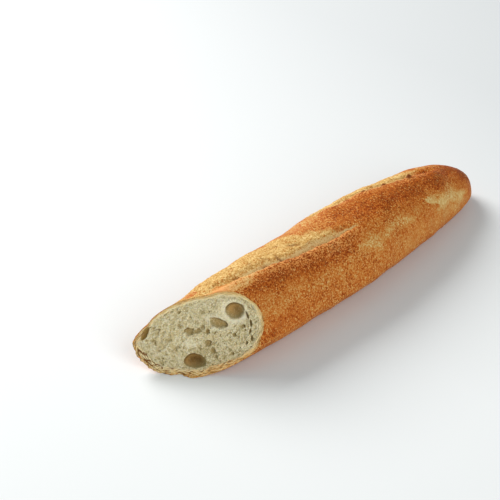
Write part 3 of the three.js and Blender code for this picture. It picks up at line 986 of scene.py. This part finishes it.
# how much each pattern and mark counts in each part of the cut face's look
crumbShares = {
    "pale": {"level": 0.18, "wall": 0.55, "patch": 1.2, "film": 0.3, "grit": 1.6},
    # the pores are painted darker with their depth, as shade
    "poreShade": {"level": 0.44, "close": 0.16},
    "speckle": {"level": 1.1, "close": 1.0},
    # the lower face is painted a little darker, as shade
    "low": {"low": 0.18},
    "ring": {"ring": 0.8},
    # painted light on a hole's gentle side lessens its painted shade, which grows with depth and is darkest
    # at the steep brink
    "lit": {"level": 1.0, "gentle": -0.7},
    "deep": {"level": -0.442, "carved": 0.34},
    "deepestShade": {"level": -1.672, "carved": 0.38, "patch": 1.2},
    "brinkShade": {"brinkShade": 0.9},
    "rim": {"rimShare": 1.0, "patch": 0.5, "fleck": 0.9},
    "amber": {"level": 0.6, "grit": 2.0},
    "streak": {"streak": 0.6},
    # the flakes are paler where they stand up and browner where they sink, and the layers browner in their
    # grooves: partly the crust's own colour, partly painted highlight and painted shade
    "flakePaleAndHighlight": {"flake": 3.2},
    "flakeBrownAndShade": {"flake": -5.0, "fleck": 0.5},
    "layers": {"layers": 0.9, "fleck": 0.72},
    "crumb": {"crumb": 1.0, "fleck": 0.8},
}


def makeCrumbMaterial():
    look = crumbLook
    material, tree, surface, place = newMaterial("openCrumb")
    source = markValues(tree, (
        "carved", "wall", "film", "close", "low", "ring", "gentle", "brinkShade", "rimShare", "paleRimAndHighlight", "goldRim",
        "streak", "flake", "layers", "crumb", "gap",
    ))
    for name, pattern in look["patterns"].items():
        source[name] = noiseAt(tree, place, *pattern)

    def share(name, clamp=True):
        return weighed(tree, source, crumbShares[name], clamp)

    def above(name, least):
        return calc(tree, "GREATER_THAN", source[name], look[least])

    # pale walls, and painted shade in the pores and air holes that deepens with their depth, darkest on a
    # hole's steep side and lifted by painted light on its gentle side; the lower face is painted a little
    # darker, as shade
    pores = product(tree, source["carved"], share("poreShade", clamp=False), clamp=True)
    pores = calc(tree, "MULTIPLY_ADD", source["fleck"], share("speckle", clamp=False), pores, clamp=True)
    pores = calc(tree, "ADD", share("low", clamp=False), pores, clamp=True)
    lit = share("lit", clamp=False)
    deepestShade = product(tree, share("deepestShade"), above("carved", "deepestFrom"), lit)
    crumbShade = coated(tree, look["cream"], [
        (share("pale"), look["ivory"]),
        (pores, look["shade"]),
        (share("ring", clamp=False), look["ivory"]),
        (product(tree, share("deep"), lit), look["deep"]),
        (calc(tree, "MAXIMUM", deepestShade, share("brinkShade")), look["deepestShade"]),
    ])

    # the rim of crust, from its baked outside to the crumb
    rimShare = share("rim")
    rimShade = rampOf(tree, rimShare, [(place, look[name]) for name, place in look["rimStops"].items()])
    # the pale rim, partly a painted highlight
    paleRimAndHighlight = product(tree, rimShare, look["paleRimGain"], clamp=True)
    paleRimAndHighlight = product(tree, source["paleRimAndHighlight"], paleRimAndHighlight, look["paleRimStrength"])
    rimShade = coated(tree, rimShade, [
        (paleRimAndHighlight, look["crustPale"]),
        (product(tree, source["goldRim"], share("amber")), look["crustAmber"]),
        (share("streak", clamp=False), look["crustAmber"]),
        # raised flakes partly painted highlight; flake hollows and layer grooves partly painted shade
        (share("flakePaleAndHighlight"), look["crustPale"]),
        (share("flakeBrownAndShade"), look["crustBrown"]),
        (product(tree, share("layers", clamp=False), above("layers", "layersFrom"), clamp=True),
         look["crustBrown"]),
    ])
    shade = coated(tree, rimShade, [(share("crumb"), crumbShade), (source["gap"], look["gapShadeBrown"])])
    bump = {"Height": source["fleck"], "Distance": look["bumpDepth"], "Strength": 1.0}
    bump = addNode(tree, "ShaderNodeBump", bump)
    fill(tree, surface, {"Base Color": shade, "Normal": bump.outputs[0], **look["shader"]})
    return material


def makeCrumbTree(material):
    values = crumbFace
    tree, size, outward = newTree("crumbPores", values["relief"])
    place = namedMark(tree, "porePlace", "FLOAT_VECTOR")
    twist = addNode(tree, "ShaderNodeTexNoise", {"Vector": place, **values["twistNoise"]})
    twist = vectorCalc(tree, "SUBTRACT", {0: twist.outputs["Color"], 1: (0.5, 0.5, 0.5)})
    place = vectorCalc(tree, "ADD", {0: scaled(tree, twist, values["twist"]), 1: place})

    def flatCells(spacingName, **settings):
        return cellsAt(tree, place, size[spacingName], voronoi_dimensions="2D", **settings)

    # spherical pores of random size, one in each cell, some cells left without
    pores = 0.0
    for spacingName, (largest, smallest, rarity, missing) in values["pores"].items():
        cell = flatCells(spacingName)
        radius = calc(tree, "POWER", chanceOf(tree, cell, 0), rarity)
        radius = calc(tree, "MULTIPLY_ADD", radius, largest - smallest, smallest)
        radius = product(tree, radius, calc(tree, "GREATER_THAN", chanceOf(tree, cell, 1), missing))
        distance = cell["Distance"]
        room = calc(tree, "SUBTRACT", product(tree, radius, radius), product(tree, distance, distance))
        hollow = calc(tree, "DIVIDE", calc(tree, "MAXIMUM", room, 0.0), radius)
        pores = calc(tree, "MAXIMUM", pores, product(tree, hollow, size[spacingName], size["Pore depth"]))

    # flat-bottomed cells of uneven depth between thin walls, wide ones and close ones
    close = namedMark(tree, "close")
    cellKinds = []
    for spacingName in ("Wide cells", "Close cells"):
        edge = flatCells(spacingName, feature="DISTANCE_TO_EDGE")["Distance"]
        chance = chanceOf(tree, flatCells(spacingName), 2)
        sunk = product(tree, edge, values["cellEdge"], clamp=True)
        depth = calc(tree, "MULTIPLY_ADD", chance, *values["cellDepths"])
        cellKinds.append((product(tree, sunk, depth), calc(tree, "SUBTRACT", 1.0, sunk)))
    cells, wall = [addNode(tree, "ShaderNodeMix", {0: close, 2: wide, 3: fine}).outputs[0]
                   for wide, fine in zip(*cellKinds)]
    pores = calc(tree, "MULTIPLY_ADD", cells, size["Cell depth"], pores)

    # air holes and films have few pores
    airHole = namedMark(tree, "hollow")
    thinned = calc(tree, "SUBTRACT", 1.0, product(tree, airHole, values["holeCalm"]), clamp=True)
    thinned = calc(tree, "MAXIMUM", thinned, values["leastPores"])
    unfilmed = calc(tree, "SUBTRACT", 1.0, product(tree, namedMark(tree, "film"), values["filmCalm"]))
    carved = calc(tree, "ADD", airHole, product(tree, pores, namedMark(tree, "crumb"), thinned, unfilmed))

    swell = product(tree, noiseAt(tree, place, *values["swellNoise"]), size["Swell height"])
    grain = product(tree, noiseAt(tree, place, *values["grainNoise"]), size["Grain height"])
    grooves = product(tree, namedMark(tree, "layers"), size["Layer height"])
    relief = calc(tree, "SUBTRACT", calc(tree, "ADD", swell, grain), grooves)
    chunk = cellsAt(tree, namedMark(tree, "rimPlace", "FLOAT_VECTOR"), size["Flake spacing"],
                    values["flakeSmoothness"], voronoi_dimensions="2D")
    flake = calc(tree, "SUBTRACT", values["flakeMiddle"], chunk["Distance"])
    flake = product(tree, flake, namedMark(tree, "flakes"))
    relief = calc(tree, "MULTIPLY_ADD", flake, size["Flake height"], relief)
    relief = product(tree, calc(tree, "SUBTRACT", relief, carved), namedMark(tree, "hold"))
    marks = {"carved": carved, "wall": wall, "flake": flake}
    endTree(tree, outward, size[0], marks, faceOut.tolist(), relief, material)
    return tree


def cutOutline(samples, inset):
    # the cut's outline on its own plane, as points (across, up), with the angle, fray and station of each
    angles = np.arange(samples) * 360 / samples
    station, fray = cutStationAt(angles, inset)
    spot, _masks = skinAt(station - fray, angles, inset)
    away = spot - faceCentre
    return np.stack([away @ faceAcross, away @ faceUp], -1), angles, fray, station - fray


def nearestTo(points, outline, batch=4000):
    # index of the nearest outline point to each point, and how far it is
    index, apart = [], []
    for start in range(0, len(points), batch):
        gaps = ((points[start:start + batch, None, :] - outline[None, :, :]) ** 2).sum(-1)
        index.append(gaps.argmin(1))
        apart.append(np.sqrt(gaps.min(1)))
    return np.concatenate(index), np.concatenate(apart)


def zoneStrength(name, angle):
    return np.max([amount * bell(degreesApart(angle, middle) / spread)
                   for middle, spread, amount in rimZones[name]], axis=0)


def withinOval(spots, oval):
    # 0 at the middle of an oval and 1 on its edge, which may have soft lobes
    away = spots - [oval["across"], oval["up"]]
    turn, wide, high = oval.get("turn", 0.0), oval["wide"], oval["high"]
    u = away[:, 0] * math.cos(turn) + away[:, 1] * math.sin(turn)
    v = away[:, 1] * math.cos(turn) - away[:, 0] * math.sin(turn)
    bearing = np.arctan2(v, u)
    wobble = 0.0
    for (strength, lobes), phase in zip(ovalLobes, (wide, high)):
        wobble = wobble + strength * np.sin(lobes * bearing + phase)
    wobble = 1 + oval.get("uneven", 0.0) * wobble
    return ((u / wide) ** 2 + (v / high) ** 2) * 4 / wobble ** 2


def faceGrid(outline, step):
    # an even grid over the cut face, its border drawn out to the outline
    low, high = outline.min(0) - step, outline.max(0) + step
    acrossLine, upLine = [np.arange(low[i], high[i], step) for i in (0, 1)]
    across, up = np.meshgrid(acrossLine, upLine, indexing="ij")
    spots = np.stack([across.ravel(), up.ravel()], -1)
    bearing = np.arctan2(outline[:, 1], outline[:, 0])
    order = np.argsort(bearing)
    reach = np.interp(np.arctan2(spots[:, 1], spots[:, 0]), bearing[order],
                      np.hypot(outline[:, 0], outline[:, 1])[order], period=2 * np.pi)
    inside = (np.hypot(spots[:, 0], spots[:, 1]) < reach).reshape(across.shape)
    cells = inside[:-1, :-1] & inside[1:, :-1] & inside[:-1, 1:] & inside[1:, 1:]
    number = np.arange(across.size).reshape(across.shape)
    corners = np.stack([number[:-1, :-1], number[1:, :-1], number[1:, 1:], number[:-1, 1:]], -1)[cells]
    used, corners = np.unique(corners, return_inverse=True)
    corners, spots = corners.reshape(-1, 4), spots[used]
    edges = np.concatenate([np.stack([corners[:, i], corners[:, (i + 1) % 4]], -1) for i in range(4)])
    _unique, first, count = np.unique(np.sort(edges, 1), axis=0, return_index=True, return_counts=True)
    border = edges[first[count == 1]]
    onBorder = np.unique(border)
    nearest, _apart = nearestTo(spots[onBorder], outline)
    spots[onBorder] = outline[nearest]
    return spots, corners, border, onBorder, nearest


def holeMarks(spots):
    # mm that the air holes are deep, and the masks of their rings, of the painted shade on their steep sides
    # and of the painted light on their gentle sides
    look = holeLook
    hollow, ring, brinkShade, gentle = np.zeros((4, len(spots)))
    for number, (middleAcross, middleUp, wide, high, deep, turn, steepSide) in enumerate(airHoles):
        uneven = look["evener"].get(number, look["uneven"])
        within = withinOval(spots, {"across": middleAcross, "up": middleUp, "wide": wide, "high": high,
                                    "turn": turn, "uneven": uneven})
        room = np.maximum(1 - within, 0)
        facing = math.radians(steepSide)
        steep = (spots[:, 0] - middleAcross) / wide * math.cos(facing)
        steep = steep + (spots[:, 1] - middleUp) / high * math.sin(facing)
        steep = clamp01(0.5 + steep * look["steepness"])
        wallForm = steep * np.sqrt(room) + (1 - steep) * room ** look["gentleFloor"]
        hollow = np.maximum(hollow, deep * wallForm)
        if wide * high > look["largeFrom"]:
            atEdge = smoothStep(room * look["edge"])
            dark = smoothStep(steep * look["darkSide"][0] - look["darkSide"][1])
            dark = dark * smoothStep(look["darkDepth"][0] - room * look["darkDepth"][1])
            brinkShade = np.maximum(brinkShade, dark * atEdge)
            lit = smoothStep(look["gentleSide"][0] - steep * look["gentleSide"][1])
            gentle = np.maximum(gentle, lit * atEdge)
        elif wide < look["slotBelow"]:
            brinkShade = np.maximum(brinkShade, look["slotShade"] * smoothStep(room * look["slotEdge"]))
        if number < look["ringed"]:
            halo = bell((within - look["ringPlace"]) / look["ringSpread"])
            ring = np.maximum(ring, halo * (1 - look["ringShaded"] * steep))
    return hollow, ring, brinkShade, gentle


def makeCrumbFace(material):
    values = crumbFace
    outline, outlineAngles, fray, outlineStations = cutOutline(values["outlineSamples"], values["edgeInset"])
    skinLine, skinAngles, _fray, _stations = cutOutline(values["outlineSamples"], 0.0)
    spots, corners, border, onBorder, nearest = faceGrid(outline, values["gridStep"])
    index, fromSkin = nearestTo(spots, skinLine)
    angle = skinAngles[index]
    thickness = values["crustThickness"] + wander(angle, values["thicknessWander"])
    for middle, spread, added in values["thicker"]:
        thickness = thickness + added * bell(degreesApart(angle, middle) / spread)
    intoCrumb = fromSkin - thickness
    crumb = smoothStep(intoCrumb / values["crumbFade"])

    # how far the face lies behind the knife's plane
    sinkFrom, sinkOver = values["sinkFade"]
    sink = values["crumbSink"] * smoothStep((intoCrumb + sinkFrom) / sinkOver)
    swell, swellPlace, swellSpread = values["crumbSwell"]
    sink = sink - swell * bell((intoCrumb - swellPlace) / swellSpread) * crumb
    frayed = np.interp(angle, np.append(skinAngles, 360), np.append(fray, fray[0]))
    frayedDepth = frayed * -faceOut[0]   # the fray is along the loaf, and this is square to the plane
    sink = sink + frayedDepth * bell(fromSkin / values["frayReach"])
    bowlShape = withinOval(spots, bowl)
    sink = sink + bowl["deep"] * smoothStep(bowl["edge"] - bowlShape)

    # torn layers and flakes of the rim
    layered = zoneStrength("strands", angle) * smoothStep(fromSkin / values["strandFrom"]) * (1 - crumb)
    waver = ripple(angle, fromSkin, values["strandWaves"])
    layers = np.sin(fromSkin * 2 * np.pi / values["strandPitch"] + waver)
    breaks = ripple(angle, fromSkin, values["strandBreaks"])
    layers = layered * smoothStep(layers + values["strandWidth"]) * smoothStep(breaks + values["strandWhole"])
    stretches = np.linalg.norm(np.diff(skinLine, axis=0, append=skinLine[:1]), axis=1)
    alongRim = np.concatenate([[0], np.cumsum(stretches)])[index]
    rimPlace = np.stack([
        alongRim / values["flakeStretch"] + ripple(alongRim, fromSkin, values["flakeSlant"]),
        fromSkin * values["flakeSquash"] + ripple(alongRim, fromSkin, values["flakeWaves"]),
    ], -1)
    streakPlace, streakSpread = values["streak"]
    streak = clamp01(values["streakLevel"] + ripple(angle, fromSkin, values["streakWaves"]))
    streak = streak * bell((fromSkin / thickness - streakPlace) / streakSpread)

    hollow, ring, brinkShade, gentle = holeMarks(spots)
    gapRoom = np.maximum(1 - withinOval(spots, tornGap), 0)
    hollow = np.maximum(hollow, tornGap["deep"] * np.sqrt(gapRoom))
    film = smoothStep(membrane["edge"] - withinOval(spots, membrane))
    film = np.maximum(film, bowl["film"] * smoothStep(bowl["filmEdge"] - bowlShape))

    span = values["squeezeSpan"]
    inwards = outline[(index + span) % len(outline)] - outline[index - span]
    inwards = np.stack([-inwards[:, 1], inwards[:, 0]], -1)
    inwards = inwards / np.linalg.norm(inwards, axis=1)[:, None]
    squeezed = values["squeeze"][0] * np.exp(-fromSkin / values["squeeze"][1])
    towards = np.sign((inwards * spots).sum(1))
    porePlace = spots + inwards * (squeezed * towards)[:, None]

    # the face, and the plug behind it that closes the piece
    points = faceCentre + spots[:, :1] * faceAcross + spots[:, 1:] * faceUp - sink[:, None] * faceOut
    plugStations = outlineStations[nearest] + values["plugDepth"]
    skirt, _masks = skinAt(plugStations, outlineAngles[nearest], values["plugInset"])
    skirtNumber = {int(old): len(points) + i for i, old in enumerate(onBorder)}
    pole = len(points) + len(skirt)
    faces = corners.tolist()
    for a, b in border.tolist():
        faces.append((b, a, skirtNumber[a], skirtNumber[b]))
        faces.append((skirtNumber[b], skirtNumber[a], pole))
    allPoints = np.concatenate([points, skirt, skirt.mean(0)[None]])
    marks = {
        "hold": smoothStep((fromSkin - values["edgeInset"]) / values["edgeHold"]),
        "crumb": crumb,
        "hollow": hollow,
        "layers": layers,
        "rimShare": fromSkin / thickness,
        "film": film,
        "close": smoothStep((spots[:, 0] - values["closeFrom"][0]) / values["closeFrom"][1]),
        "low": smoothStep((spots[:, 1] - values["lowFrom"][0]) / values["lowFrom"][1]),
        "flakes": zoneStrength("flakes", angle) * (1 - crumb),
        "streak": streak * zoneStrength("streak", angle),
        "ring": ring,
        "brinkShade": brinkShade,
        "gentle": gentle,
        "paleRimAndHighlight": zoneStrength("paleRimAndHighlight", angle),
        "goldRim": zoneStrength("goldRim", angle),
        "gap": smoothStep(gapRoom * tornGap["edge"]),
    }
    onPlug = np.zeros(len(allPoints) - len(points))
    marks = {name: np.append(mark, onPlug) for name, mark in marks.items()}
    mesh = makeMesh("crumb_face", toFrame(allPoints), faces, marks)
    for name, flat in (("porePlace", porePlace), ("rimPlace", rimPlace)):
        pattern = mesh.attributes.new(name, "FLOAT_VECTOR", "POINT")
        flatPlace = np.zeros((len(allPoints), 3), np.float32)
        flatPlace[:len(spots), :2] = flat
        pattern.data.foreach_set("vector", flatPlace.ravel())
    face = showObject("crumb_face", mesh)
    runTree(face, makeCrumbTree(material), values["relief"])
    return face


# build the pieces

crustPiece = makeCrustBody(makeCrustMaterial())
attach(crustPiece, "root")
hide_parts(partNode)
print("crusted body:", len(crustPiece.data.polygons), "faces")

crumbPiece = makeCrumbFace(makeCrumbMaterial())
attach(crumbPiece, "root")
print("crumb face:", len(crumbPiece.data.polygons), "faces")


# floor, light and camera

studio = {
    "floorShade": (0.86, 0.87, 0.88, 1),
    "farPaintedShade": (0.725, 0.735, 0.75, 1),
    "shadeFrom": -30,         # the floor is painted darker from one shade to the other along X, a painted falloff of the light, in mm
    "shadeTo": 290,
    "floorSize": 16.0,
    "floorDrop": 0.2 * mm,    # below the bread, so that the two faces don't fight
    "floorRoughness": 0.7,
    "floorGloss": 0.25,
    "skyStrength": 0.285,
    "skyShade": (0.85, 0.98, 1.0, 1),
    "elevation": 34.0,        # the camera looks down by this angle
    "heading": 47.454,        # and along this heading, from +Y towards +X
    "distance": 1.5,          # from the aim, and the aim itself, in metres
    "aim": (-0.006162, 0.067684, 0.000248),
    "lens": 154.44,           # lens and sensor in mm
    "sensor": 36,
    "clipEnd": 50,
    "softboxes": [
        # right of the aim, beyond it and up, in metres; where it points, right and beyond; side; spread of
        # its beam in degrees; watts; colour
        (-0.86, 0.97, 0.98, -0.1, -0.25, 1.0, 120, 15.5, (1.0, 0.985, 0.96)),
        (1.1, -1.6, 1.3, 0.0, 0.0, 1.6, 180, 24.5, (1.0, 0.98, 0.955)),
    ],
}


def makeFloor():
    values = studio
    half, drop = values["floorSize"] / 2, values["floorDrop"]
    corners = [(-half, -half, -drop), (half, -half, -drop), (half, half, -drop), (-half, half, -drop)]
    floorMesh = bpy.data.meshes.new("floor")
    floorMesh.from_pydata(corners, [], [(0, 1, 2, 3)])
    floor = showObject("floor", floorMesh)
    paper, tree, surface, place = newMaterial("paleFloor")
    along = addNode(tree, "ShaderNodeSeparateXYZ", {0: place}).outputs[0]
    along = calc(tree, "SUBTRACT", along, values["shadeFrom"])
    share = calc(tree, "DIVIDE", along, values["shadeTo"] - values["shadeFrom"], clamp=True)
    fill(tree, surface, {
        "Base Color": mixColours(tree, share, values["floorShade"], values["farPaintedShade"]),
        "Roughness": values["floorRoughness"],
        "Specular IOR Level": values["floorGloss"],
    })
    floorMesh.materials.append(paper)


def showAimed(name, data, place, direction):
    # a lamp or a camera whose -Z points along the direction, with its top up
    thing = showObject(name, data)
    thing.location = place.tolist()
    pitch = math.acos(-direction[2] / np.linalg.norm(direction))
    thing.rotation_euler = (pitch, 0.0, math.atan2(-direction[0], direction[1]))
    return thing


def makeStudio():
    values = studio
    makeFloor()
    world = bpy.data.worlds.new("paleRoom")
    world.use_nodes = True
    sky = {"Color": values["skyShade"], "Strength": values["skyStrength"]}
    fill(world.node_tree, world.node_tree.nodes["Background"], sky)
    bpy.context.scene.world = world

    heading, elevation = math.radians(values["heading"]), math.radians(values["elevation"])
    right = np.array([math.cos(heading), -math.sin(heading), 0])
    ahead = np.array([math.sin(heading), math.cos(heading), 0])
    up = np.array([0, 0, 1.0])
    aim = np.array(values["aim"])
    for number, softbox in enumerate(values["softboxes"]):
        toRight, beyond, above, pointRight, pointBeyond, side, spread, watts, shade = softbox
        lampData = bpy.data.lights.new(f"softbox{number}", "AREA")
        lampData.size = side
        lampData.spread = math.radians(spread)
        lampData.energy = watts
        lampData.color = shade
        spot = aim + right * toRight + ahead * beyond + up * above
        target = aim + right * pointRight + ahead * pointBeyond
        lamp = showAimed(f"softbox{number}", lampData, spot, target - spot)
        lamp.visible_camera = False

    cameraData = bpy.data.cameras.new("camera")
    cameraData.lens = values["lens"]
    cameraData.sensor_width = values["sensor"]
    cameraData.clip_end = values["clipEnd"]
    view = ahead * math.cos(elevation) - up * math.sin(elevation)
    bpy.context.scene.camera = showAimed("camera", cameraData, aim - view * values["distance"], view)
    bpy.context.scene.view_settings.view_transform = "Standard"


makeStudio()
print("studio ready")
